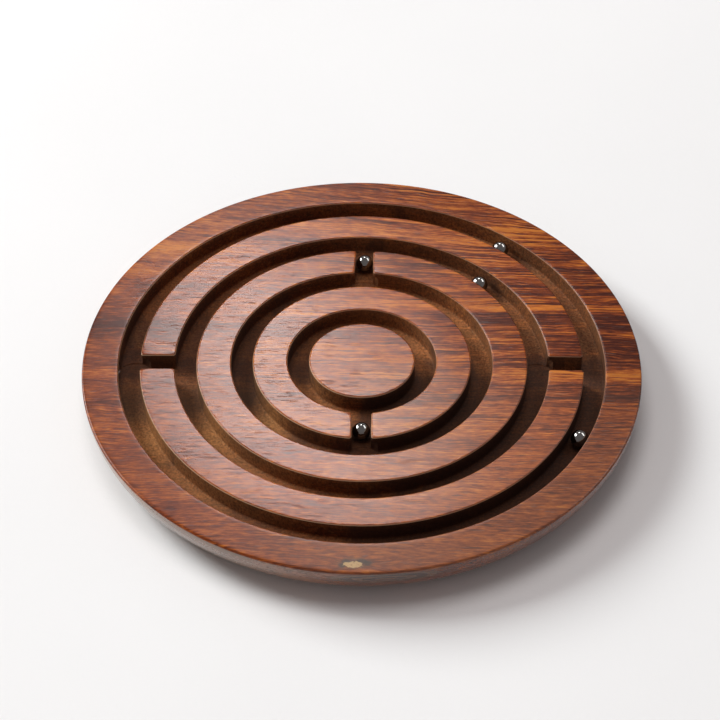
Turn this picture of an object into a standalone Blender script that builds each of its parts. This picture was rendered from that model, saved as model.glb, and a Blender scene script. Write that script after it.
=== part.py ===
"""Round tilt maze game: a turned rosewood board with four ring grooves and five steel balls.

Units are metres, +Z is up, and the origin is the centre of the board's flat foot.
The board is one piece of wood on the real object. It is modelled as seven sections (base, rim,
four wall arcs and the island), so that every groove and gate stays open between simple shapes.
"""

import math

import bmesh
import bpy
from mathutils import Matrix, Vector

MM = 0.001

# Driving dimensions.
BOARD_RADIUS = 75.0 * MM
BOARD_HEIGHT = 12.7 * MM
EDGE_ROUND = 0.5 * MM
FOOT_RADIUS = 62.5 * MM
FLOOR_Z = 7.0 * MM
GROOVE_WIDTH = 5.8 * MM
FIRST_GROOVE_RADIUS = 17.1 * MM
GROOVE_PITCH = 15.1 * MM
GATE_WIDTH = 5.2 * MM
BALL_RADIUS = 2.38 * MM
POCKET_RADIUS = 5.0 * MM
LEFT_POCKET_SHIFT = 1.2 * MM
LIP_THICKNESS = 1.4 * MM
GAP = 0.3 * MM

# Directions of the four gates, anticlockwise from +X. They are hand cut, so they sit slightly off square.
RIGHT_GATE_ANGLE = -0.7
BACK_GATE_ANGLE = 89.2
LEFT_GATE_ANGLE = 181.3
FRONT_GATE_ANGLE = 270.0

# Where the balls lie: each one's direction and distance from the centre. A gate's ball is in line with it.
BACK_BALL_ANGLE = 51.2
BACK_BALL_DISTANCE = 62.4 * MM
FRONT_BALL_ANGLE = -24.5
FRONT_BALL_DISTANCE = 62.7 * MM
SECOND_RING_BALL_ANGLE = 45.9
SECOND_RING_BALL_DISTANCE = 47.0 * MM
BACK_GATE_BALL_DISTANCE = 42.3 * MM
FRONT_GATE_BALL_DISTANCE = 23.8 * MM

RING_STEPS = 96
ARC_STEPS = 6
BALL_SEGMENTS = 24
BALL_RINGS = 12
MERGE_DISTANCE = 0.00001
SMOOTH_ANGLE = math.radians(30.0)
CUTTER_REACH = 200.0 * MM

ROSEWOOD_COLOUR = (0.23, 0.085, 0.045, 1.0)
GROOVE_COLOUR = (0.10, 0.045, 0.024, 1.0)
STEEL_COLOUR = (0.62, 0.62, 0.61, 1.0)


def groove_centre(number):
    """Radius of a groove's centre line. Groove 1 is the outermost and groove 4 the innermost."""
    return FIRST_GROOVE_RADIUS + (4 - number) * GROOVE_PITCH


def groove_inner(number):
    return groove_centre(number) - GROOVE_WIDTH / 2


def groove_outer(number):
    return groove_centre(number) + GROOVE_WIDTH / 2


def clear_scene():
    for thing in list(bpy.data.objects):
        bpy.data.objects.remove(thing, do_unlink=True)
    for collection in list(bpy.data.collections):
        bpy.data.collections.remove(collection)


def make_collection(name):
    collection = bpy.data.collections.new(name)
    bpy.context.scene.collection.children.link(collection)
    return collection


def make_material(name, colour, roughness, metallic):
    material = bpy.data.materials.new(name)
    material.use_nodes = True
    shader = material.node_tree.nodes["Principled BSDF"]
    shader.inputs["Base Color"].default_value = colour
    shader.inputs["Roughness"].default_value = roughness
    shader.inputs["Metallic"].default_value = metallic
    return material


def add_object(name, mesh, collection, material=None):
    thing = bpy.data.objects.new(name, mesh)
    collection.objects.link(thing)
    if material is not None:
        mesh.materials.append(material)
    return thing


def smooth(thing):
    thing.data.shade_smooth()
    thing.data.set_sharp_from_angle(angle=SMOOTH_ANGLE)


def turned(name, profile, closed, collection, material):
    """A profile of (radius, height) points turned about the Z axis with a Screw modifier."""
    edges = [(i, i + 1) for i in range(len(profile) - 1)]
    if closed:
        edges.append((len(profile) - 1, 0))
    mesh = bpy.data.meshes.new(name)
    mesh.from_pydata([(radius, 0.0, height) for radius, height in profile], edges, [])
    thing = add_object(name, mesh, collection, material)
    screw = thing.modifiers.new("turn", "SCREW")
    screw.axis = "Z"
    screw.angle = math.tau
    screw.steps = RING_STEPS
    screw.render_steps = RING_STEPS
    screw.use_merge_vertices = True
    screw.merge_threshold = MERGE_DISTANCE
    screw.use_smooth_shade = True
    return thing


def underside(low, high):
    """The board's quarter-round side from height high down to height low, as profile points."""
    top = BOARD_HEIGHT - EDGE_ROUND
    reach = BOARD_RADIUS - FOOT_RADIUS
    start = math.acos(min(1.0, (top - low) / top))
    end = math.acos(max(0.0, (top - high) / top))
    points = []
    for step in range(ARC_STEPS + 1):
        angle = end + (start - end) * step / ARC_STEPS
        points.append((FOOT_RADIUS + reach * math.sin(angle), top - top * math.cos(angle)))
    return points


def soft_corner(radius, outward):
    """Three points that round a wall's top edge. outward is +1 on an outer edge and -1 on an inner one."""
    top = BOARD_HEIGHT
    slant = EDGE_ROUND * (1.0 - math.sqrt(0.5))
    points = [
        (radius - outward * EDGE_ROUND, top),
        (radius - outward * slant, top - slant),
        (radius, top - EDGE_ROUND),
    ]
    return points if outward > 0 else points[::-1]


def make_base(collection, material):
    """The solid disc under the grooves, with the flat foot and the lower part of the rounded side."""
    profile = [(0.0, FLOOR_Z)] + underside(0.0, FLOOR_Z) + [(0.0, 0.0)]
    return turned("board_base", profile, False, collection, material)


def make_rim(collection, material):
    """The outer ring above the groove floor, with the upper part of the rounded side."""
    inner = groove_outer(1)
    bottom = FLOOR_Z + GAP
    profile = soft_corner(inner, -1) + soft_corner(BOARD_RADIUS, 1)
    profile += underside(bottom, BOARD_HEIGHT - EDGE_ROUND)[1:]
    profile.append((inner, bottom))
    return turned("board_rim", profile, True, collection, material)


def make_wall(name, number, collection, material):
    """The ring wall between a groove and the next one outward."""
    inner = groove_outer(number)
    outer = groove_inner(number - 1)
    bottom = FLOOR_Z + GAP
    profile = soft_corner(inner, -1) + soft_corner(outer, 1)
    profile += [(outer, bottom), (inner, bottom)]
    return turned(name, profile, True, collection, material)


def make_island(collection, material):
    """The round island inside the innermost groove."""
    edge = groove_inner(4)
    bottom = FLOOR_Z + GAP
    profile = [(0.0, BOARD_HEIGHT)] + soft_corner(edge, 1) + [(edge, bottom), (0.0, bottom)]
    return turned("centre_island", profile, False, collection, material)


def make_cutter(name, mesh, collection):
    cutter = add_object(name, mesh, collection)
    cutter.hide_render = True
    cutter.display_type = "WIRE"
    return cutter


def box_cutter(name, low, high, angle, collection):
    """A box between two corners in its own frame, turned about Z by angle degrees."""
    mesh = bpy.data.meshes.new(name)
    shape = bmesh.new()
    size = Vector(high) - Vector(low)
    centre = (Vector(high) + Vector(low)) / 2
    bmesh.ops.create_cube(shape, size=1.0, matrix=Matrix.Translation(centre) @ Matrix.Diagonal((*size, 1.0)))
    shape.to_mesh(mesh)
    shape.free()
    cutter = make_cutter(name, mesh, collection)
    cutter.rotation_euler.z = math.radians(angle)
    return cutter


def gate_cutter(name, wall, angle, collection):
    """The slot that opens one ring wall, from the groove inside it to the groove outside it."""
    low = (groove_centre(wall), -GATE_WIDTH / 2, 0.0)
    high = (groove_centre(wall - 1), GATE_WIDTH / 2, BOARD_HEIGHT * 2)
    return box_cutter(name, low, high, angle, collection)


def pocket_cutter(name, distance, angle, collection):
    """The round pocket in a groove at a gate's mouth, which stops under a thin lip."""
    ceiling = BOARD_HEIGHT - LIP_THICKNESS
    mesh = bpy.data.meshes.new(name)
    shape = bmesh.new()
    bmesh.ops.create_cone(
        shape,
        cap_ends=True,
        segments=40,
        radius1=POCKET_RADIUS,
        radius2=POCKET_RADIUS,
        depth=ceiling,
    )
    shape.to_mesh(mesh)
    shape.free()
    cutter = make_cutter(name, mesh, collection)
    heading = math.radians(angle)
    cutter.location = (distance * math.cos(heading), distance * math.sin(heading), ceiling / 2)
    return cutter


def cut(thing, *cutters):
    for cutter in cutters:
        modifier = thing.modifiers.new("cut_" + cutter.name, "BOOLEAN")
        modifier.operation = "DIFFERENCE"
        modifier.solver = "EXACT"
        modifier.object = cutter


def make_axis(name, location, collection):
    axis = bpy.data.objects.new(name, None)
    axis.empty_display_size = BALL_RADIUS
    axis.location = location
    collection.objects.link(axis)
    return axis


def make_ball(name, distance, angle, collection, material, axis=None):
    """A steel ball resting in the maze, held by an empty on its joint's axis where it has one."""
    mesh = bpy.data.meshes.new(name)
    shape = bmesh.new()
    bmesh.ops.create_uvsphere(shape, u_segments=BALL_SEGMENTS, v_segments=BALL_RINGS, radius=BALL_RADIUS)
    shape.to_mesh(mesh)
    shape.free()
    mesh.shade_smooth()
    ball = add_object(name, mesh, collection, material)
    heading = math.radians(angle)
    height = FLOOR_Z + GAP + BALL_RADIUS
    ball.location = (distance * math.cos(heading), distance * math.sin(heading), height)
    ball.parent = axis
    return ball


def build_board(parts, cutters):
    wood = make_material("rosewood", ROSEWOOD_COLOUR, 0.38, 0.0)
    groove_wood = make_material("rosewood_groove", GROOVE_COLOUR, 0.7, 0.0)

    base = make_base(parts, groove_wood)
    rim = make_rim(parts, wood)
    outer_back = make_wall("outer_wall_back", 2, parts, wood)
    outer_front = make_wall("outer_wall_front", 2, parts, wood)
    middle = make_wall("middle_wall", 3, parts, wood)
    inner = make_wall("inner_wall", 4, parts, wood)
    make_island(parts, wood)
    smooth(base)

    right_gate = gate_cutter("cut_gate_right", 2, RIGHT_GATE_ANGLE, cutters)
    left_gate = gate_cutter("cut_gate_left", 2, LEFT_GATE_ANGLE, cutters)
    back_gate = gate_cutter("cut_gate_back", 3, BACK_GATE_ANGLE, cutters)
    front_gate = gate_cutter("cut_gate_front", 4, FRONT_GATE_ANGLE, cutters)

    left_pocket_distance = groove_centre(1) - LEFT_POCKET_SHIFT
    right_pocket = pocket_cutter("cut_pocket_right", groove_centre(2), RIGHT_GATE_ANGLE, cutters)
    left_pocket = pocket_cutter("cut_pocket_left", left_pocket_distance, LEFT_GATE_ANGLE, cutters)
    back_pocket = pocket_cutter("cut_pocket_back", groove_centre(3), BACK_GATE_ANGLE, cutters)
    front_pocket = pocket_cutter("cut_pocket_front", groove_centre(3), FRONT_GATE_ANGLE, cutters)

    # The outer wall falls into a back and a front half, which meet inside its two gates.
    reach = CUTTER_REACH
    split = -1.0 * MM
    front_half = box_cutter("cut_front_half", (-reach, -reach, -reach), (reach, split, reach), 0.0, cutters)
    back_half = box_cutter("cut_back_half", (-reach, split, -reach), (reach, reach, reach), 0.0, cutters)

    cut(rim, left_pocket)
    cut(outer_back, right_gate, left_gate, front_half, left_pocket, right_pocket)
    cut(outer_front, right_gate, left_gate, back_half, left_pocket, right_pocket)
    cut(middle, back_gate, right_pocket, back_pocket)
    cut(inner, front_gate, back_pocket, front_pocket)


def build_balls(parts):
    steel = make_material("polished_steel", STEEL_COLOUR, 0.12, 1.0)
    turning_axis = make_axis("maze_axis", (0.0, 0.0, 0.0), parts)
    make_ball("ball_ring_1_back", BACK_BALL_DISTANCE, BACK_BALL_ANGLE, parts, steel, turning_axis)
    make_ball("ball_ring_1_front", FRONT_BALL_DISTANCE, FRONT_BALL_ANGLE, parts, steel, turning_axis)
    make_ball("ball_ring_2", SECOND_RING_BALL_DISTANCE, SECOND_RING_BALL_ANGLE, parts, steel, turning_axis)
    make_ball("ball_back_gate", BACK_GATE_BALL_DISTANCE, BACK_GATE_ANGLE, parts, steel)
    make_ball("ball_front_gate", FRONT_GATE_BALL_DISTANCE, FRONT_GATE_ANGLE, parts, steel)


def main():
    clear_scene()
    parts = make_collection("tilt_maze_game")
    cutters = make_collection("cutters")
    build_board(parts, cutters)
    build_balls(parts)


main()
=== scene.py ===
"""Looks for the round tilt maze game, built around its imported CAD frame. Metres, +Z up."""

import math

import bmesh
import bpy
import numpy as np
from mathutils import Matrix, Vector
from mathutils.geometry import delaunay_2d_cdt


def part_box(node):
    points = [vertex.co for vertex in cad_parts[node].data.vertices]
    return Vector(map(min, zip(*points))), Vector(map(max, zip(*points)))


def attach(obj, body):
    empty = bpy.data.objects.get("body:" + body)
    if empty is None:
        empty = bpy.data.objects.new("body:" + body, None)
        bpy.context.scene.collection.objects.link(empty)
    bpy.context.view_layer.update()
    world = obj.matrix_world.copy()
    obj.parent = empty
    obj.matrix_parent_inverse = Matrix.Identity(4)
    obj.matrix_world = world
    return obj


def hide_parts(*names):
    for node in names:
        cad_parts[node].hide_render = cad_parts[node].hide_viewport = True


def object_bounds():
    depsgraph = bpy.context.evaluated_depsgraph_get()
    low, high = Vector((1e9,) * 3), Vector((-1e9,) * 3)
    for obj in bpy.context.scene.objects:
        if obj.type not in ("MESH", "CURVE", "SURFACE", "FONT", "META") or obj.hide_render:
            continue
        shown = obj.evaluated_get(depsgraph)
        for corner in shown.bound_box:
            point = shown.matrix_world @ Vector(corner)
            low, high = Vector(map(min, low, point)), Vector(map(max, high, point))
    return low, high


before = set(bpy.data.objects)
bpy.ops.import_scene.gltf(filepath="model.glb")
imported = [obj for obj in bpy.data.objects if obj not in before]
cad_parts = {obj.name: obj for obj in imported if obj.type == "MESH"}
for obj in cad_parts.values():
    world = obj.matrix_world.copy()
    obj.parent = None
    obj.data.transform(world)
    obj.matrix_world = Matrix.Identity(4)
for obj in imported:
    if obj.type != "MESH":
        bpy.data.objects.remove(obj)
CAD_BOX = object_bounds()

# ---------------------------------------------------------------- sizes, in mm
MM = 0.001
BOARD_RADIUS = round(CAD_BOX[1][0] / MM, 3)
BOARD_HEIGHT = round(CAD_BOX[1][2] / MM, 3)
FOOT_RADIUS = 62.5
RIM_EDGE = 0.6
RIM_FALL = 0.22

FIRST_GROOVE = 17.1
GROOVE_PITCH = 15.1
GROOVE_WIDTH = 5.8
FLOOR_Z = 7.28
EDGE = 0.38
FILLET = 0.5
CORNER = 0.75
WALL_HEIGHTS = (11.35, 10.2, 9.0)
UNDERSIDE_LIMIT = 1.0

# Each gate: its direction in degrees, then its half width at the wall's inner and outer edge, on
# its clockwise side and on its anticlockwise side.
RIGHT_GATE = (-0.7, (2.6, 2.6), (2.6, 2.6))
LEFT_GATE = (181.3, (2.5, 2.6), (2.6, 2.55))
BACK_GATE = (89.2, (2.5, 2.4), (2.75, 2.35))
FRONT_GATE = (270.0, (2.6, 2.55), (2.6, 2.55))

POCKET_RADIUS = 5.0
POCKET_LIP = 1.35
POCKET_DEPTH = 0.25
POCKET_SOFT_TOP = 1.1
POCKET_SOFT_BOTTOM = 0.4

# How finely the shapes are divided.
RIM_STEPS = 384
RIM_TOP_RINGS = (66.6, 67.8, 69.2, 70.8, 72.4, 73.6)
FOOT_RINGS = (50.0, 25.0)
ISLAND_STEPS = 192
POCKET_STEPS = 72
CORNER_STEPS = 8
GATE_PARTS = 10
ARC_STEP = 0.85
BALL_SUBDIVISIONS = 5
SHARP_ANGLE = 32.0

# The board's materials, in the order of its slots.
TOP, CUT, SIDE = range(3)


def groove_centre(number):
    """Radius of a groove's centre line. Groove 1 is the outermost and groove 4 the innermost."""
    return FIRST_GROOVE + (4 - number) * GROOVE_PITCH


def groove_inner(number):
    return groove_centre(number) - GROOVE_WIDTH / 2


def groove_outer(number):
    return groove_centre(number) + GROOVE_WIDTH / 2


# Each pocket: its gate, its distance from the board's centre and its shift anticlockwise.
POCKETS = [
    (RIGHT_GATE, groove_centre(2), 0.0),
    (LEFT_GATE, groove_centre(1) - 1.2, 0.0),
    (BACK_GATE, groove_centre(3), 0.35),
    (FRONT_GATE, groove_centre(3), 0.45),
]


# ---------------------------------------------------------------- geometry helpers
def link(obj):
    bpy.context.scene.collection.objects.link(obj)
    return obj


def quarter(steps):
    """Angles that divide a quarter turn, from 0 to 90 degrees."""
    return [math.pi / 2 * i / steps for i in range(steps + 1)]


def circle(radius, height, steps):
    """Points round the board's centre."""
    angles = [math.tau * k / steps for k in range(steps)]
    return [(radius * math.cos(a), radius * math.sin(a), height) for a in angles]


def turned(profile, steps):
    """Vertices and faces of a (radius, height) profile turned about Z. Radius 0 is one point."""
    verts = []
    rings = []
    for radius, height in profile:
        start = len(verts)
        if radius == 0:
            verts.append((0.0, 0.0, height))
            rings.append([start] * steps)
        else:
            verts.extend(circle(radius, height, steps))
            rings.append(list(range(start, start + steps)))
    faces = []
    for a, b in zip(rings[:-1], rings[1:]):
        for k in range(steps):
            n = (k + 1) % steps
            corners = (a[k], a[n], b[n], b[k])
            faces.append(list(dict.fromkeys(corners)))
    return verts, faces


def face_outwards(mesh):
    """Turns the faces of a closed mesh so that they all point out of it."""
    shape = bmesh.new()
    shape.from_mesh(mesh)
    bmesh.ops.recalc_face_normals(shape, faces=shape.faces)
    shape.to_mesh(mesh)
    shape.free()


def heading(v):
    """The angle of a direction, from the board's right."""
    return math.atan2(v[1], v[0])


def arc(centre, radius, start, end, steps, way=1):
    """Points along an arc, anticlockwise where way is 1 and clockwise where it is -1."""
    while (end - start) * way < 0:
        end += math.tau * way
    angles = [start + (end - start) * i / steps for i in range(steps + 1)]
    return [centre + radius * np.array([math.cos(a), math.sin(a)]) for a in angles]


def between(p, q, parts):
    """Points that divide the way from p to q into equal parts, without p and q."""
    return [p + (q - p) * i / parts for i in range(1, parts)]


def covers(polygon, point):
    """Whether a polygon holds a point, by counting the edges to the right of it."""
    x, y = polygon[:, 0], polygon[:, 1]
    next_x, next_y = np.roll(x, -1), np.roll(y, -1)
    crosses = (y > point.y) != (next_y > point.y)
    slope = (next_x - x)[crosses] / (next_y - y)[crosses]
    return np.count_nonzero(point.x < slope * (point.y - y[crosses]) + x[crosses]) % 2 == 1


# ---------------------------------------------------------------- walls between the grooves
class Side:
    """One side of a gate: a line that the wall lies beyond. normal points into the wall."""

    def __init__(self, direction, sign, half_widths, r_in, r_out):
        a = math.radians(direction)
        axis = np.array([math.cos(a), math.sin(a)])
        across = np.array([-math.sin(a), math.cos(a)]) * sign
        p = axis * r_in + across * half_widths[0]
        q = axis * r_out + across * half_widths[1]
        self.along = (q - p) / np.linalg.norm(q - p)
        self.normal = np.array([-self.along[1], self.along[0]])
        if self.normal @ across < 0:
            self.normal = -self.normal
        self.reach = float(self.normal @ p)

    def corner(self, radius):
        """Centre of the wall's rounded corner, at this distance from the board's centre."""
        reach = self.reach + CORNER
        return self.normal * reach + self.along * math.sqrt(radius * radius - reach * reach)


def gate_sides(gate, r_in, r_out):
    """A gate's clockwise and anticlockwise side."""
    direction, clockwise, anticlockwise = gate
    return Side(direction, -1, clockwise, r_in, r_out), Side(direction, 1, anticlockwise, r_in, r_out)


def band_outline(r_in, r_out, first, last, offset):
    """Closed outline of a ring wall between two gate sides, moved into the wall by offset.

    first is the side at the band's clockwise end and last the one at its anticlockwise end.
    """
    origin = np.zeros(2)
    corner = CORNER - offset
    a_out, b_out = first.corner(r_out - CORNER), last.corner(r_out - CORNER)
    a_in, b_in = first.corner(r_in + CORNER), last.corner(r_in + CORNER)
    first_out, last_out = -first.normal, -last.normal
    sweep = (heading(b_out) - heading(a_out)) % math.tau
    steps = max(8, round(sweep * r_out / ARC_STEP))
    # Anticlockwise along the outer edge, and in along the last side.
    outer = arc(a_out, corner, heading(first_out), heading(a_out), CORNER_STEPS)[:-1]
    outer += arc(origin, r_out - offset, heading(a_out), heading(b_out), steps)[:-1]
    outer += arc(b_out, corner, heading(b_out), heading(last_out), CORNER_STEPS)
    outer += between(outer[-1], b_in + corner * last_out, GATE_PARTS)
    # Clockwise along the inner edge, and out along the first side.
    inner = arc(b_in, corner, heading(last_out), heading(-b_in), CORNER_STEPS)[:-1]
    inner += arc(origin, r_in + offset, heading(b_in), heading(a_in), steps, way=-1)[:-1]
    inner += arc(a_in, corner, heading(-a_in), heading(first_out), CORNER_STEPS)
    inner += between(inner[-1], a_out + corner * first_out, GATE_PARTS)
    return outer + inner


def wall_steps():
    """(offset into the wall, height) from the top face's edge down to the groove floor."""
    edge = [(EDGE * (1 - math.sin(t)), BOARD_HEIGHT - EDGE * (1 - math.cos(t))) for t in quarter(4)]
    straight = [(0.0, height) for height in WALL_HEIGHTS]
    fillet = [(-FILLET * (1 - math.cos(t)), FLOOR_Z + FILLET * (1 - math.sin(t))) for t in quarter(4)]
    return edge + straight + fillet


def rim_profile():
    """(radius, height) from the groove floor over the rim, round the side and under the foot."""
    inner = groove_outer(1)
    profile = [(inner + offset, height) for offset, height in reversed(wall_steps())]
    # The rim's top falls away slightly to the outside, as sanding leaves it.
    top_start = inner + EDGE
    top_width = BOARD_RADIUS - RIM_EDGE - top_start
    for radius in RIM_TOP_RINGS:
        profile.append((radius, BOARD_HEIGHT - RIM_FALL * (radius - top_start) / top_width))
    shoulder = BOARD_HEIGHT - RIM_FALL
    for t in quarter(6):
        radius = BOARD_RADIUS - RIM_EDGE * (1 - math.sin(t))
        profile.append((radius, shoulder - RIM_EDGE * (1 - math.cos(t))))
    # The side curves in under the rim as a quarter of an ellipse.
    side_top = shoulder - RIM_EDGE
    for t in quarter(26)[1:]:
        radius = FOOT_RADIUS + (BOARD_RADIUS - FOOT_RADIUS) * math.cos(t)
        profile.append((radius, side_top - side_top * math.sin(t)))
    return profile + [(radius, 0.0) for radius in (*FOOT_RINGS, 0.0)]


# ---------------------------------------------------------------- the board
class Shell:
    """The board's vertices and faces in mm, and the outlines where its parts meet the floor."""

    def __init__(self):
        self.verts = []
        self.faces = []
        self.outlines = []

    def add_column(self, rings):
        """A wall or the island: equal rings from the top down, under one flat top face."""
        count = len(rings[0])
        top = len(self.verts)
        for ring in rings:
            self.verts.extend(ring)
        floor = top + (len(rings) - 1) * count
        for a in range(top, floor, count):
            for k in range(count):
                n = (k + 1) % count
                self.faces.append([a + k, a + n, a + count + n, a + count + k])
        self.faces.append(list(range(top, top + count)))
        self.outlines.append((floor, count))

    def add_wall(self, r_in, r_out, first, last):
        rings = []
        for offset, height in wall_steps():
            outline = band_outline(r_in, r_out, first, last, offset)
            rings.append([(x, y, height) for x, y in outline])
        self.add_column(rings)

    def add_walls(self):
        r_in, r_out = groove_outer(2), groove_inner(1)
        right_start, right_end = gate_sides(RIGHT_GATE, r_in, r_out)
        left_start, left_end = gate_sides(LEFT_GATE, r_in, r_out)
        self.add_wall(r_in, r_out, right_end, left_start)
        self.add_wall(r_in, r_out, left_end, right_start)
        for inner_groove, gate in ((3, BACK_GATE), (4, FRONT_GATE)):
            r_in, r_out = groove_outer(inner_groove), groove_inner(inner_groove - 1)
            start, end = gate_sides(gate, r_in, r_out)
            self.add_wall(r_in, r_out, end, start)

    def add_island(self):
        edge = groove_inner(4)
        self.add_column([circle(edge - offset, height, ISLAND_STEPS) for offset, height in wall_steps()])

    def add_rim(self):
        base = len(self.verts)
        verts, faces = turned(rim_profile(), RIM_STEPS)
        self.verts.extend(verts)
        self.faces.extend([[v + base for v in face] for face in faces])
        self.outlines.append((base, RIM_STEPS))

    def add_groove_floor(self):
        """Fills what lies inside the rim, the last outline, and under no wall or island."""
        loops = [list(range(start, start + count)) for start, count in self.outlines]
        index = [v for loop in loops for v in loop]
        points = [Vector(self.verts[v][:2]) for v in index]
        place = {v: i for i, v in enumerate(index)}
        edges = [(place[a], place[b]) for loop in loops for a, b in zip(loop, loop[1:] + loop[:1])]
        whole_hull = 0
        tolerance = 1e-7
        out_verts, _, out_faces, sources, _, _ = delaunay_2d_cdt(points, edges, [], whole_hull, tolerance)
        columns = [np.array([self.verts[v][:2] for v in loop]) for loop in loops[:-1]]
        for face in out_faces:
            centre = sum((out_verts[v] for v in face), Vector((0.0, 0.0))) / len(face)
            if centre.length > groove_outer(1) or any(covers(column, centre) for column in columns):
                continue
            self.faces.append([index[sources[v][0]] for v in face])


def build_board():
    """The whole board as one closed mesh, before its pockets are cut."""
    shell = Shell()
    shell.add_walls()
    shell.add_island()
    shell.add_rim()
    shell.add_groove_floor()
    mesh = bpy.data.meshes.new("maze_board")
    mesh.from_pydata([(x * MM, y * MM, z * MM) for x, y, z in shell.verts], [], shell.faces)
    shape = bmesh.new()
    shape.from_mesh(mesh)
    bmesh.ops.remove_doubles(shape, verts=shape.verts, dist=1e-8)
    bmesh.ops.recalc_face_normals(shape, faces=shape.faces)
    bmesh.ops.triangulate(shape, faces=[face for face in shape.faces if len(face.verts) > 4])
    shape.to_mesh(mesh)
    shape.free()
    return link(bpy.data.objects.new("maze_board", mesh))


def pocket_profile():
    """(radius, height) of a pocket's cutter, from its middle under the lip down to its bottom."""
    top = BOARD_HEIGHT - POCKET_LIP
    bottom = FLOOR_Z - POCKET_DEPTH
    profile = [(0.0, top)]
    for t in quarter(6):
        radius = POCKET_RADIUS - POCKET_SOFT_TOP * (1 - math.sin(t))
        profile.append((radius, top - POCKET_SOFT_TOP * (1 - math.cos(t))))
    for t in quarter(3):
        radius = POCKET_RADIUS - POCKET_SOFT_BOTTOM * (1 - math.cos(t))
        profile.append((radius, bottom + POCKET_SOFT_BOTTOM * (1 - math.sin(t))))
    return profile + [(0.0, bottom)]


def cut_pockets(board):
    """Round pockets under a thin lip at the gates' mouths."""
    verts, faces = turned(pocket_profile(), POCKET_STEPS)
    cutters = []
    for number, (gate, distance, across) in enumerate(POCKETS):
        name = f"pocket_{number}"
        a = math.radians(gate[0])
        x = distance * math.cos(a) - across * math.sin(a)
        y = distance * math.sin(a) + across * math.cos(a)
        mesh = bpy.data.meshes.new(name)
        mesh.from_pydata([((vx + x) * MM, (vy + y) * MM, vz * MM) for vx, vy, vz in verts], [], faces)
        face_outwards(mesh)
        cutter = link(bpy.data.objects.new(name, mesh))
        cutters.append(cutter)
        cut = board.modifiers.new(name, "BOOLEAN")
        cut.operation = "DIFFERENCE"
        cut.solver = "EXACT"
        cut.object = cutter
    bpy.context.view_layer.update()
    evaluated = board.evaluated_get(bpy.context.evaluated_depsgraph_get())
    uncut = board.data
    board.data = bpy.data.meshes.new_from_object(evaluated)
    board.data.name = "maze_board"
    board.modifiers.clear()
    bpy.data.meshes.remove(uncut)
    for cutter in cutters:
        bpy.data.objects.remove(cutter, do_unlink=True)


def smooth_board(board):
    """Smooth shading that keeps flat faces flat and the pockets' cut edges crisp."""
    board.data.shade_smooth()
    board.data.set_sharp_from_angle(angle=math.radians(SHARP_ANGLE))
    normals = board.modifiers.new("flat_faces_stay_flat", "WEIGHTED_NORMAL")
    normals.keep_sharp = True
    normals.weight = 80


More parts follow.
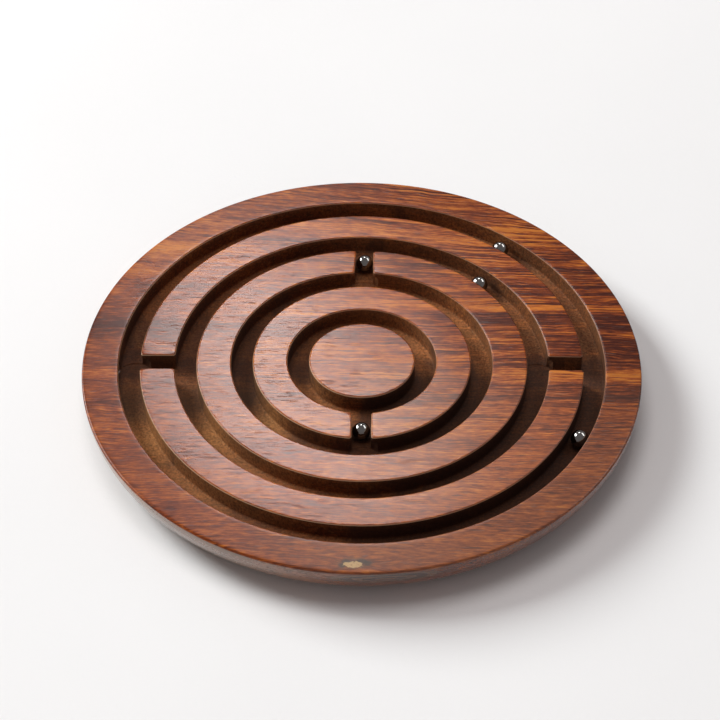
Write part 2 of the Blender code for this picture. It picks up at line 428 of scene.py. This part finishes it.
# ---------------------------------------------------------------- shader node helpers
class Graph:
    """A short way to write a material's node tree. Values are sockets, numbers or tuples."""

    def __init__(self, name):
        self.material = bpy.data.materials.new(name)
        self.material.use_nodes = True
        self.tree = self.material.node_tree
        self.tree.nodes.clear()
        coords = self.node("ShaderNodeTexCoord").outputs["Object"]
        self.mm = self.vector("SCALE", coords, scale=1000.0)
        self.x, self.y, self.z = self.node("ShaderNodeSeparateXYZ", self.mm).outputs

    def node(self, kind, *values, **settings):
        node = self.tree.nodes.new(kind)
        for key, value in settings.items():
            setattr(node, key, value)
        for socket, value in zip(node.inputs, values):
            self.feed(socket, value)
        return node

    def feed(self, socket, value):
        if isinstance(value, bpy.types.NodeSocket):
            self.tree.links.new(value, socket)
        elif value is not None:
            socket.default_value = value

    def math(self, operation, *values):
        return self.node("ShaderNodeMath", *values, operation=operation).outputs[0]

    def add(self, *values):
        total = values[0]
        for value in values[1:]:
            total = self.math("ADD", total, value)
        return total

    def mul(self, *values):
        total = values[0]
        for value in values[1:]:
            total = self.math("MULTIPLY", total, value)
        return total

    def sub(self, a, b):
        return self.math("SUBTRACT", a, b)

    def squares(self, *values):
        """The sum of the values' squares."""
        return self.add(*[self.mul(value, value) for value in values])

    def length(self, *values):
        return self.math("SQRT", self.squares(*values))

    def bell(self, *values):
        """1 where every value is 0, and near 0 where any of them is beyond 2 or -2."""
        return self.math("EXPONENT", self.mul(self.squares(*values), -1.0))

    def away(self, value, place, reach):
        """How far a value is from a place, as a share of a reach."""
        return self.mul(self.sub(value, place), 1 / reach)

    def spot(self, x, y, reach_x, reach_y):
        """1 at a place on the board, falling to 0 around it."""
        return self.bell(self.away(self.x, x, reach_x), self.away(self.y, y, reach_y))

    def towards(self, degrees, low, high):
        """1 on the side of the board in a direction, falling to 0 as the angle from it grows.

        low and high are cosines of that angle.
        """
        a = math.radians(degrees)
        along = self.add(self.mul(self.x, math.cos(a)), self.mul(self.y, math.sin(a)))
        # The 1.0 keeps the board's centre from being divided by 0.
        radius = self.length(self.x, self.y, 1.0)
        return self.step(self.math("DIVIDE", along, radius), low, high)

    def vector(self, operation, a, b=None, scale=None):
        node = self.node("ShaderNodeVectorMath", a, b, operation=operation)
        if scale is not None:
            node.inputs["Scale"].default_value = scale
        return node.outputs["Vector"]

    def combine(self, x, y, z):
        return self.node("ShaderNodeCombineXYZ", x, y, z).outputs[0]

    def noise(self, scale, detail=2.0, roughness=0.5, offset=(0.0, 0.0, 0.0), where=None):
        """3D noise about 0 over a position in mm, with a frequency per mm along each axis."""
        where = self.vector("MULTIPLY", where or self.mm, scale)
        node = self.node("ShaderNodeTexNoise", self.vector("ADD", where, offset), noise_dimensions="3D")
        node.inputs["Scale"].default_value = 1.0
        node.inputs["Detail"].default_value = detail
        node.inputs["Roughness"].default_value = roughness
        return self.sub(node.outputs["Fac"], 0.5)

    def ramp(self, value, stops):
        node = self.node("ShaderNodeValToRGB", value)
        elements = node.color_ramp.elements
        while len(elements) < len(stops):
            elements.new(0.5)
        for element, (place, colour) in zip(elements, stops):
            element.position = place
            element.color = (*colour, 1.0)
        return node.outputs["Color"]

    def step(self, value, low, high, out_low=0.0, out_high=1.0):
        """Smooth change from out_low to out_high as value goes from low to high."""
        limits = (value, low, high, out_low, out_high)
        return self.node("ShaderNodeMapRange", *limits, interpolation_type="SMOOTHSTEP").outputs["Result"]

    def mix(self, amount, a, b, blend="MIX"):
        node = self.node("ShaderNodeMix", data_type="RGBA", blend_type=blend, clamp_factor=True)
        self.feed(node.inputs["Factor"], amount)
        for socket, colour in zip(node.inputs[6:8], (a, b)):
            self.feed(socket, (*colour, 1.0) if isinstance(colour, tuple) else colour)
        return node.outputs[2]

    def tint(self, colour, factor):
        """A colour multiplied by a number."""
        return self.vector("MULTIPLY", colour, self.combine(factor, factor, factor))

    def bump(self, height, strength, distance):
        node = self.node("ShaderNodeBump")
        node.inputs["Strength"].default_value = strength
        node.inputs["Distance"].default_value = distance
        self.feed(node.inputs["Height"], height)
        return node.outputs["Normal"]

    def finish(self, colour, roughness, normal, **fixed):
        shader = self.node("ShaderNodeBsdfPrincipled")
        self.feed(shader.inputs["Base Color"], colour)
        self.feed(shader.inputs["Roughness"], roughness)
        self.feed(shader.inputs["Normal"], normal)
        for key, value in fixed.items():
            shader.inputs[key.replace("_", " ")].default_value = value
        self.node("ShaderNodeOutputMaterial", shader.outputs[0])
        return self.material


# ---------------------------------------------------------------- wood
# Streaks that run along the grain: place across the board in mm, half width in mm, how much darker
# (negative) or lighter (positive), and the stretch along the grain, in mm, over which they show.
STREAKS = [
    (69.0, 0.9, -0.26, 12.0, 56.0),
    (60.0, 1.2, -0.28, 22.0, 70.0),
    (54.0, 2.2, 0.16, -35.0, 25.0),
    (48.5, 0.9, -0.26, 20.0, 80.0),
    (43.5, 1.3, 0.20, 30.0, 80.0),
    (39.0, 0.8, -0.26, 5.0, 80.0),
    (28.3, 0.9, -0.26, 35.0, 90.0),
    (21.6, 1.1, 0.34, 8.0, 90.0),
    (16.8, 1.9, -0.36, 8.0, 90.0),
    (13.0, 1.6, -0.26, 52.0, 95.0),
    (4.5, 6.0, -0.20, 50.0, 95.0),
    (-5.4, 1.6, 0.36, 36.0, 95.0),
    (-13.6, 1.9, -0.28, 50.0, 95.0),
    (42.0, 2.0, 0.22, -80.0, -38.0),
    (36.5, 0.8, -0.22, -90.0, -40.0),
    (33.0, 1.6, 0.24, -85.0, -50.0),
    (26.5, 1.6, 0.34, -90.0, -58.0),
    (12.5, 2.4, -0.22, -95.0, -48.0),
    (-6.0, 1.6, 0.18, -95.0, -52.0),
    (-17.5, 1.6, -0.18, -95.0, -50.0),
]
STREAK_FADE = 14.0

# The knot's middle, and its dark spots: each one's place from the middle, then its reach.
KNOT = (-1.6, -72.2, BOARD_HEIGHT)
KNOT_SPOTS = ((-2.0, 0.9, 1.3, 0.8), (1.9, 1.0, 1.5, 0.8), (-2.9, -0.3, 1.2, 0.7), (3.2, 0.3, 1.2, 0.9))

PORE_BROWN = (0.045, 0.014, 0.009)
BURN_AND_SHADE_BROWN = (0.045, 0.022, 0.016)


def grain_flow(g):
    """The place across the grain, for single streaks, and a position bent along it, for noise."""
    sway = g.mul(g.noise((0.010, 0.022, 0.022), 1.5, 0.5), 7.0)
    ripple = g.mul(g.noise((0.028, 0.10, 0.10), 2.0, 0.5, (4.0, 1.0, 7.0)), 2.0)
    tremor = g.mul(g.noise((0.11, 0.22, 0.22), 2.0, 0.5, (9.0, 2.0, 5.0)), 1.25)
    # The grain parts round the knot at the front of the rim.
    dx = g.away(g.x, KNOT[0], 9.0)
    dy = g.away(g.y, KNOT[1], 2.8)
    dz = g.away(g.z, KNOT[2], 6.0)
    around = g.math("EXPONENT", g.mul(g.squares(dx, dy, dz), -0.8))
    parting = g.mul(around, g.math("SIGN", dy), 1.5)
    # Towards the back the grain dips to the right.
    back = g.math("MAXIMUM", g.y, 0.0)
    fan = g.mul(g.x, back, back, 0.00003)
    level = g.add(g.y, fan, g.mul(sway, 0.3), g.mul(ripple, 0.6), tremor)
    across = g.add(g.y, fan, g.mul(g.z, 0.5), sway, ripple, tremor, parting)
    return level, g.combine(g.x, across, g.z)


def figure(g, along):
    """The wood's broad bands, its stripes and its fine and thin lines, as a tone about 0."""
    broad = g.noise((0.011, 0.080, 0.060), 2.0, 0.5, (3.7, 0.0, 0.0), where=along)
    stripe = g.noise((0.012, 0.360, 0.200), 4.0, 0.60, (1.3, 4.2, 0.0), where=along)
    line = g.noise((0.042, 1.650, 1.400), 3.0, 0.66, (5.1, 2.0, 3.0), where=along)
    thin = g.step(g.noise((0.030, 1.30, 1.2), 2.0, 0.5, (2.0, 8.0, 6.0), where=along), 0.09, 0.14)
    # The figure is strongest at the back right.
    back_right = g.mul(g.step(g.x, -55.0, 50.0), g.step(g.y, -50.0, 15.0), 1.1)
    contrast = g.add(back_right, g.step(g.y, 0.0, 50.0, 0.0, 0.2), 0.44)
    return g.add(
        g.mul(broad, g.add(g.mul(contrast, 0.5), 0.45)),
        g.mul(stripe, 1.05, contrast),
        g.mul(line, 1.5, contrast),
        g.mul(thin, -0.30, contrast),
    )


def patches(g):
    """The large paler and darker patches, as a tone about 0."""
    front = g.spot(6.0, -32.0, 40.0, 40.0)
    left = g.spot(-58.0, -2.0, 26.0, 22.0)
    back_left = g.spot(-50.0, 46.0, 26.0, 20.0)
    island = g.spot(2.0, -13.0, 13.0, 9.0)
    return g.add(g.mul(front, 0.17), g.mul(left, -0.12), g.mul(back_left, 0.22), g.mul(island, 0.10))


def streaks(g, level):
    """The single streaks, as a tone about 0. level is the place across the grain."""
    tones = []
    for place, half, amount, low, high in STREAKS:
        shape = g.bell(g.away(level, place, half))
        start = g.step(g.x, low, low + STREAK_FADE)
        end = g.step(g.x, high - STREAK_FADE, high, 1.0, 0.0)
        tones.append(g.mul(shape, start, end, amount))
    return g.add(*tones)


def wood(g):
    """Rosewood all through the blank. Returns its colour, two fine textures and its pores."""
    level, along = grain_flow(g)
    mottle = g.noise((0.30, 1.35, 1.35), 3.0, 0.65, (6.0, 4.0, 1.0), where=along)
    fibre = g.noise((0.200, 3.1, 3.1), 3.0, 0.65, (1.0, 9.0, 2.0), where=along)
    hair = g.noise((0.30, 6.5, 6.5), 2.0, 0.6, (8.0, 3.0, 5.0))
    tone = g.add(figure(g, along), patches(g), streaks(g, level))
    tone = g.add(tone, g.mul(mottle, 1.15), g.mul(fibre, 1.05), 0.52)
    colour = g.ramp(tone, [
        (0.00, (0.056, 0.0090, 0.0035)),
        (0.22, (0.100, 0.0190, 0.0062)),
        (0.40, (0.165, 0.0300, 0.0070)),
        (0.55, (0.265, 0.0540, 0.0115)),
        (0.74, (0.385, 0.0930, 0.0165)),
        (1.00, (0.560, 0.1800, 0.0280)),
    ])
    hue = g.step(g.noise((0.02, 0.05, 0.05), 2.0, 0.5, (2.0, 5.0, 1.0)), -0.25, 0.25)
    colour = g.mix(g.mul(hue, 0.35), colour, (1.0, 0.80, 0.90), "MULTIPLY")
    colour = g.tint(colour, g.add(g.mul(fibre, 0.45), g.mul(hair, 0.55), 1.0))
    pores = g.step(g.noise((0.22, 2.4, 2.4), 1.0, 0.5, (5.0, 5.0, 5.0), where=along), 0.13, 0.20)
    colour = g.mix(g.mul(pores, 0.42), colour, PORE_BROWN)
    return colour, fibre, hair, pores


def knot(g, colour):
    """A small knot with a pale broken heart in a dark grey stain, and the eye on the side below."""
    rough = g.mul(g.noise((0.75, 0.75, 0.75), 3.0, 0.65, (3.0, 3.0, 3.0)), 1.3)
    dx = g.sub(g.x, KNOT[0])
    dy = g.sub(g.y, KNOT[1])
    dz = g.mul(g.sub(g.z, KNOT[2]), 0.7)

    def blob(x, y, reach_x, reach_y, ragged=1.0):
        """Distance from a place in the knot, as a share of a reach, with a ragged edge."""
        flat = g.squares(g.away(dx, x, reach_x), g.away(dy, y, reach_y))
        return g.add(g.math("SQRT", g.add(flat, g.mul(dz, dz, 0.1))), g.mul(rough, ragged))

    stain = g.step(blob(0.2, 0.3, 4.6, 2.2), 0.55, 1.15, 1.0, 0.0)
    colour = g.mix(g.mul(stain, 0.55), colour, (0.070, 0.050, 0.045))
    for x, y, reach_x, reach_y in KNOT_SPOTS:
        dark = g.step(blob(x, y, reach_x, reach_y, 0.6), 0.6, 1.1, 1.0, 0.0)
        colour = g.mix(g.mul(dark, 0.8), colour, (0.028, 0.022, 0.022))
    heart = g.step(blob(0.0, -0.1, 2.7, 1.25), 0.80, 0.95, 1.0, 0.0)
    left_gap = g.step(blob(-1.3, 1.1, 0.9, 0.6, 0.4), 0.6, 1.0)
    right_gap = g.step(blob(1.6, 1.1, 0.9, 0.5, 0.4), 0.6, 1.0)
    fleck = g.step(g.noise((1.6, 2.4, 1.6), 2.0, 0.6, (7.0, 1.0, 2.0)), 0.05, 0.16)
    cream = g.mix(g.mul(fleck, 0.7), (0.62, 0.40, 0.23), (0.26, 0.12, 0.06))
    colour = g.mix(g.mul(heart, left_gap, right_gap), colour, cream)
    # The eye's rings on the side.
    ring = g.add(g.length(g.away(g.x, 6.0, 15.0), g.away(g.z, 9.9, 2.1)), g.mul(rough, 0.16))
    side = g.mul(g.step(g.z, 12.0, 12.3, 1.0, 0.0), g.step(g.y, -70.0, -68.0, 1.0, 0.0))
    wave = g.math("SINE", g.mul(ring, 17.0))
    lines = g.mix(g.step(wave, -0.5, 0.8), (0.035, 0.022, 0.017), (0.210, 0.130, 0.085))
    inside = g.step(ring, 0.85, 1.05, 1.0, 0.0)
    return g.mix(g.mul(inside, side, 0.75), colour, lines)


def polished_wood():
    """The board's top: walls, island and rim, worn pale where it rounds over into a groove, with a painted
    highlight there that is brightest towards the left.
    """
    g = Graph("rosewood_polished")
    colour, fibre, hair, pores = wood(g)
    colour = knot(g, colour)
    radius = g.length(g.x, g.y)
    rim = g.step(radius, 65.2, 65.7)
    front_right = g.mul(rim, g.towards(-50.0, 0.30, 0.95))
    colour = g.tint(colour, g.add(g.mul(front_right, -0.14), g.mul(rim, -0.10), 1.0))
    colour = g.vector("MULTIPLY", colour, (0.87, 0.87, 0.66))
    colour = g.mix(g.mul(g.towards(-55.0, 0.50, 0.95), 0.10), colour, (0.40, 0.31, 0.24))
    # Painted highlight, partly wear: the rounded top edges are paler, brightest towards the left, where the
    # key light catches them.
    edge = g.step(g.z, BOARD_HEIGHT - EDGE * 0.80, BOARD_HEIGHT - EDGE * 0.12, 1.0, 0.0)
    edge = g.mul(edge, g.step(radius, 66.0, 66.4, 1.0, 0.0))
    worn_and_highlit = g.mix(g.towards(200.0, -0.2, 0.7), (0.56, 0.33, 0.21), (0.85, 0.62, 0.40))
    colour = g.mix(g.mul(edge, 0.75), colour, worn_and_highlit)
    sheen = g.noise((0.03, 0.05, 0.05), 3.0, 0.5, (6.0, 2.0, 9.0))
    roughness = g.add(0.19, g.mul(rim, 0.04), g.mul(fibre, 0.10), g.mul(sheen, 0.08), g.mul(pores, 0.10))
    height = g.add(g.mul(hair, 0.6), g.mul(fibre, 0.5), g.mul(pores, -0.9))
    return g.finish(colour, roughness, g.bump(height, 0.15, 0.00004), IOR=1.31)


def lacquered_wood():
    """The board's rounded side: glossier than its top, mottled, made darker and greyer by painted shade, and
    paler towards the front left by a painted reflection.
    """
    g = Graph("rosewood_lacquered_side")
    colour, fibre, hair, _ = wood(g)
    colour = knot(g, colour)
    grime = g.noise((0.04, 0.04, 0.12), 3.0, 0.55, (4.0, 9.0, 2.0))
    # Painted shade: the whole side is mixed towards a dark grey brown.
    colour = g.mix(0.30, colour, (0.060, 0.042, 0.034))
    # Painted reflection: the side turns paler towards the front left, as if it mirrored the bright floor.
    colour = g.mix(g.mul(g.towards(212.0, 0.45, 0.95), 0.65), colour, (0.36, 0.23, 0.15))
    # Painted shade: the side is darkened to 0.72 of its colour, with a mottle of grime about that.
    colour = g.tint(colour, g.add(g.mul(grime, 0.9), 0.72))
    roughness = g.add(0.26, g.mul(fibre, 0.10), g.mul(grime, 0.18))
    normal = g.bump(g.add(g.mul(hair, 0.5), g.mul(grime, 0.6)), 0.18, 0.00005)
    return g.finish(colour, roughness, normal, IOR=1.5, Coat_Weight=0.7, Coat_Roughness=0.14, Coat_IOR=1.5)


def groove_tan(g):
    """The cut wood's brown: a patchy floor, walls made darker deep down by painted shade and paler near the
    top, and painted light where the key light reaches into the grooves.
    """
    patch = g.noise((0.055, 0.055, 0.05), 3.0, 0.55, (9.0, 4.0, 1.0))
    floor = g.mix(g.step(patch, -0.15, 0.15), (0.205, 0.085, 0.034), (0.125, 0.056, 0.027))
    # Painted shade: the walls are dark deep down and paler near the top, where more light reaches.
    wall = g.mix(g.step(g.z, 10.9, 11.6), (0.058, 0.023, 0.010), (0.125, 0.054, 0.023))
    # Painted light: the walls turn paler at the back right and at the front left, where they face the key
    # light.
    wall = g.mix(g.towards(38.0, 0.35, 0.80), wall, (0.190, 0.080, 0.032))
    wall = g.mix(g.towards(215.0, 0.70, 0.95), wall, (0.260, 0.125, 0.048))
    # Painted light: the floors turn golden at the front left and in spots there, and floors and walls turn
    # ochre at the back right, where the key light falls into the grooves.
    floor = g.mix(g.mul(g.towards(212.0, 0.85, 0.99), 0.4), floor, (0.330, 0.165, 0.062))
    lit_golden_pools = g.add(
        g.spot(-56.0, -26.0, 7.0, 6.0),
        g.spot(-40.0, -24.5, 7.0, 6.0),
        g.spot(-24.0, -19.0, 5.0, 5.0),
    )
    lit_ochre_pool = g.spot(22.0, 15.0, 22.0, 18.0)
    floor = g.mix(g.mul(lit_golden_pools, 0.7), floor, (0.450, 0.225, 0.080))
    wall = g.mix(g.mul(lit_golden_pools, 0.6), wall, (0.450, 0.225, 0.080))
    floor = g.mix(g.mul(lit_ochre_pool, 0.7), floor, (0.330, 0.140, 0.050))
    wall = g.mix(g.mul(lit_ochre_pool, 0.6), wall, (0.330, 0.140, 0.050))
    return g.mix(g.step(g.z, FLOOR_Z + 0.3, FLOOR_Z + 1.0), floor, wall)


def groove_burns_and_shade(g, colour):
    """The cutter's burns, darkest where it crossed the grain, with painted shade that darkens the grooves at
    the front right and on the left, where they lie in shadow.
    """
    # Painted shade: front_right darkens the grooves at the front right, where they lie in shadow. The burn
    # mask carries it.
    front_right = g.towards(-48.0, 0.62, 0.90)
    crossing = g.bell(g.away(g.y, 1.0, 7.0))
    burn_and_shade = g.noise((0.075, 0.060, 0.06), 3.0, 0.6, (1.5, 6.0, 2.0))
    burn_and_shade = g.step(g.add(burn_and_shade, g.mul(crossing, 0.17), g.mul(front_right, 0.30)), 0.06, 0.20)
    # Both the burns and the painted shade turn the wood this dark brown.
    colour = g.mix(g.mul(burn_and_shade, 0.6), colour, BURN_AND_SHADE_BROWN)
    scorched = g.add(
        g.spot(-61.5, -12.0, 6.0, 8.0),
        g.spot(-45.5, -12.0, 6.0, 7.0),
        g.spot(-30.0, -11.0, 5.0, 6.0),
    )
    colour = g.mix(g.mul(scorched, 0.7), colour, (0.045, 0.026, 0.016))
    # Painted shade: a dark spot over the grooves on the left, where they lie in shadow.
    colour = g.mix(g.mul(g.spot(-32.0, 10.0, 24.0, 14.0), 0.65), colour, (0.045, 0.020, 0.012))
    # Painted shade: the grooves at the front right are darkened once more.
    return g.tint(colour, g.add(g.mul(g.towards(-48.0, 0.55, 0.92), -0.45), 1.0))


def groove_wood():
    """The unpolished wood inside the grooves: matt, olive brown, speckled by the cutter and dotted with
    painted glints.
    """
    g = Graph("rosewood_groove_cut")
    colour, _, hair, _ = wood(g)
    speckle = g.noise((1.7, 1.7, 1.2), 3.0, 0.65, (2.0, 7.0, 3.0))
    colour = g.mix(0.74, colour, groove_tan(g))
    colour = g.tint(colour, g.add(g.mul(speckle, 2.6), g.mul(hair, 0.4), 0.94))
    # Painted glints: pale golden flecks scattered over the cut wood.
    fleck = g.step(g.noise((1.5, 1.5, 1.5), 2.0, 0.6, (6.0, 3.0, 8.0)), 0.07, 0.17)
    colour = g.mix(g.mul(fleck, 0.35), colour, (0.300, 0.160, 0.070))
    colour = groove_burns_and_shade(g, colour)
    roughness = g.add(0.78, g.mul(speckle, 0.25))
    height = g.add(speckle, g.mul(hair, 0.3))
    return g.finish(colour, roughness, g.bump(height, 0.5, 0.00022), IOR=1.25)


# ---------------------------------------------------------------- steel and floor
def polished_steel():
    """Bearing steel with a faint haze of fine scratches."""
    g = Graph("bearing_steel_polished")
    haze = g.noise((0.9, 0.9, 0.9), 3.0, 0.6, (1.0, 2.0, 3.0))
    scratch = g.noise((7.0, 1.4, 7.0), 2.0, 0.7, (4.0, 2.0, 8.0))
    colour = g.mix(g.step(haze, -0.2, 0.2), (0.30, 0.295, 0.285), (0.25, 0.245, 0.235))
    roughness = g.add(0.075, g.mul(haze, 0.06), g.mul(scratch, 0.05))
    return g.finish(colour, roughness, g.bump(scratch, 0.12, 0.00001), Metallic=1.0)


def pale_floor():
    """A plain, matt and nearly white floor under the board."""
    g = Graph("pale_floor")
    cloud = g.noise((0.006, 0.006, 0.006), 3.0, 0.5)
    colour = g.mix(g.step(cloud, -0.25, 0.25), (0.80, 0.80, 0.80), (0.83, 0.83, 0.83))
    grain = g.noise((0.9, 0.9, 0.9), 2.0, 0.6)
    return g.finish(colour, 0.9, g.bump(grain, 0.2, 0.0002), IOR=1.3)


# ---------------------------------------------------------------- camera, floor and lights
CAMERA_ELEVATION = math.radians(44.03)
CAMERA_ROLL = math.radians(0.443)
CAMERA_DISTANCE = 0.6055
LIGHT_DISTANCE = 2.4
FLOOR_HALF = 4.0


def add_camera():
    """In front of the board, looking down at the middle of its top."""
    data = bpy.data.cameras.new("camera")
    data.sensor_width = 36.0
    data.lens = 112.72
    data.shift_x = -0.00265
    data.shift_y = -0.0005
    data.clip_start = 0.01
    data.clip_end = 50.0
    camera = link(bpy.data.objects.new("camera", data))
    behind = CAMERA_DISTANCE * math.cos(CAMERA_ELEVATION)
    above = CAMERA_DISTANCE * math.sin(CAMERA_ELEVATION)
    camera.location = (0.0, -behind, BOARD_HEIGHT * MM + above)
    tilt = Matrix.Rotation(math.pi / 2 - CAMERA_ELEVATION, 4, "X")
    camera.rotation_euler = (tilt @ Matrix.Rotation(CAMERA_ROLL, 4, "Z")).to_euler()
    bpy.context.scene.camera = camera


def add_area(name, direction, along, size, power, colour=(1.0, 1.0, 1.0)):
    """A softbox that faces the board. along is the way its first side runs."""
    data = bpy.data.lights.new(name, "AREA")
    data.shape = "RECTANGLE"
    data.size, data.size_y = size
    data.energy = power
    data.color = colour
    light = link(bpy.data.objects.new(name, data))
    way = Vector(direction).normalized()
    light.location = way * LIGHT_DISTANCE
    first = (Vector(along) - way * way.dot(Vector(along))).normalized()
    second = way.cross(first)
    light.rotation_euler = Matrix((first, second, way)).transposed().to_euler()
    return light


def add_lights():
    """A key light at the back left, weaker ones round it, and a pale world."""
    add_area("key_light", (-0.72, 0.42, 0.55), (0.05, -1.07, 0.78), (1.4, 0.85), 65.0, (0.97, 1.0, 1.0))
    # Fills the shadows, and leaves no reflection of its own.
    overhead = add_area("overhead_light", (-0.10, 0.12, 1.0), (1, 0, 0), (1.2, 1.2), 18.0, (1.0, 0.96, 0.955))
    overhead.visible_glossy = False
    # These two are only seen in reflections, so they cast no second shadow.
    strip = add_area("strip_light", (0.57, 0.36, 0.74), (0.84, -0.69, 0.29), (1.6, 0.60), 13.0)
    strip.visible_diffuse = False
    sheen = add_area("sheen_light", (-0.053, 0.701, 0.710), (0.59, -0.57, 0.57), (0.50, 0.30), 8.6)
    sheen.visible_diffuse = False
    world = bpy.data.worlds.new("studio")
    world.use_nodes = True
    background = world.node_tree.nodes["Background"]
    background.inputs["Color"].default_value = (1.0, 0.91, 0.90, 1.0)
    background.inputs["Strength"].default_value = 0.28
    bpy.context.scene.world = world
    bpy.context.scene.view_settings.view_transform = "Standard"


def add_floor():
    """A square far larger than the board, in the plane that it stands on."""
    corners = [(x * FLOOR_HALF, y * FLOOR_HALF, 0.0) for x, y in ((-1, -1), (1, -1), (1, 1), (-1, 1))]
    mesh = bpy.data.meshes.new("floor")
    mesh.from_pydata(corners, [], [(0, 1, 2, 3)])
    mesh.materials.append(pale_floor())
    link(bpy.data.objects.new("floor", mesh))


# ---------------------------------------------------------------- pieces
def board_finish(centre):
    """Which of the board's materials a face takes, by where its centre is in mm."""
    if centre.z < UNDERSIDE_LIMIT:
        return SIDE
    if math.hypot(centre.x, centre.y) > groove_outer(1) + EDGE * 0.5:
        return SIDE if centre.z < BOARD_HEIGHT - RIM_FALL - RIM_EDGE else TOP
    return CUT if centre.z < BOARD_HEIGHT - EDGE * 0.95 else TOP


def dress_board():
    """The board in one unbroken mesh, in place of the frame's seven sections."""
    board = build_board()
    cut_pockets(board)
    smooth_board(board)
    board.data.materials.clear()
    for material in (polished_wood(), groove_wood(), lacquered_wood()):
        board.data.materials.append(material)
    for polygon in board.data.polygons:
        polygon.material_index = board_finish(polygon.center / MM)
    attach(board, "board")
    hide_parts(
        "board_base", "board_rim", "outer_wall_back", "outer_wall_front",
        "middle_wall", "inner_wall", "centre_island",
    )


def dress_balls():
    """A smooth sphere in place of each of the frame's balls."""
    steel = polished_steel()
    for node in ("ball_ring_1_back", "ball_ring_1_front", "ball_ring_2", "ball_back_gate", "ball_front_gate"):
        low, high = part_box(node)
        centre = (Vector(low) + Vector(high)) / 2
        radius = (high[0] - low[0]) / 2
        shape = bmesh.new()
        bmesh.ops.create_icosphere(shape, subdivisions=BALL_SUBDIVISIONS, radius=radius)
        mesh = bpy.data.meshes.new("steel_" + node)
        shape.to_mesh(mesh)
        shape.free()
        mesh.shade_smooth()
        mesh.transform(Matrix.Translation(centre))
        mesh.materials.append(steel)
        ball = link(bpy.data.objects.new("steel_" + node, mesh))
        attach(ball, node)
        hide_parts(node)


add_camera()
add_floor()
add_lights()
dress_board()
dress_balls()
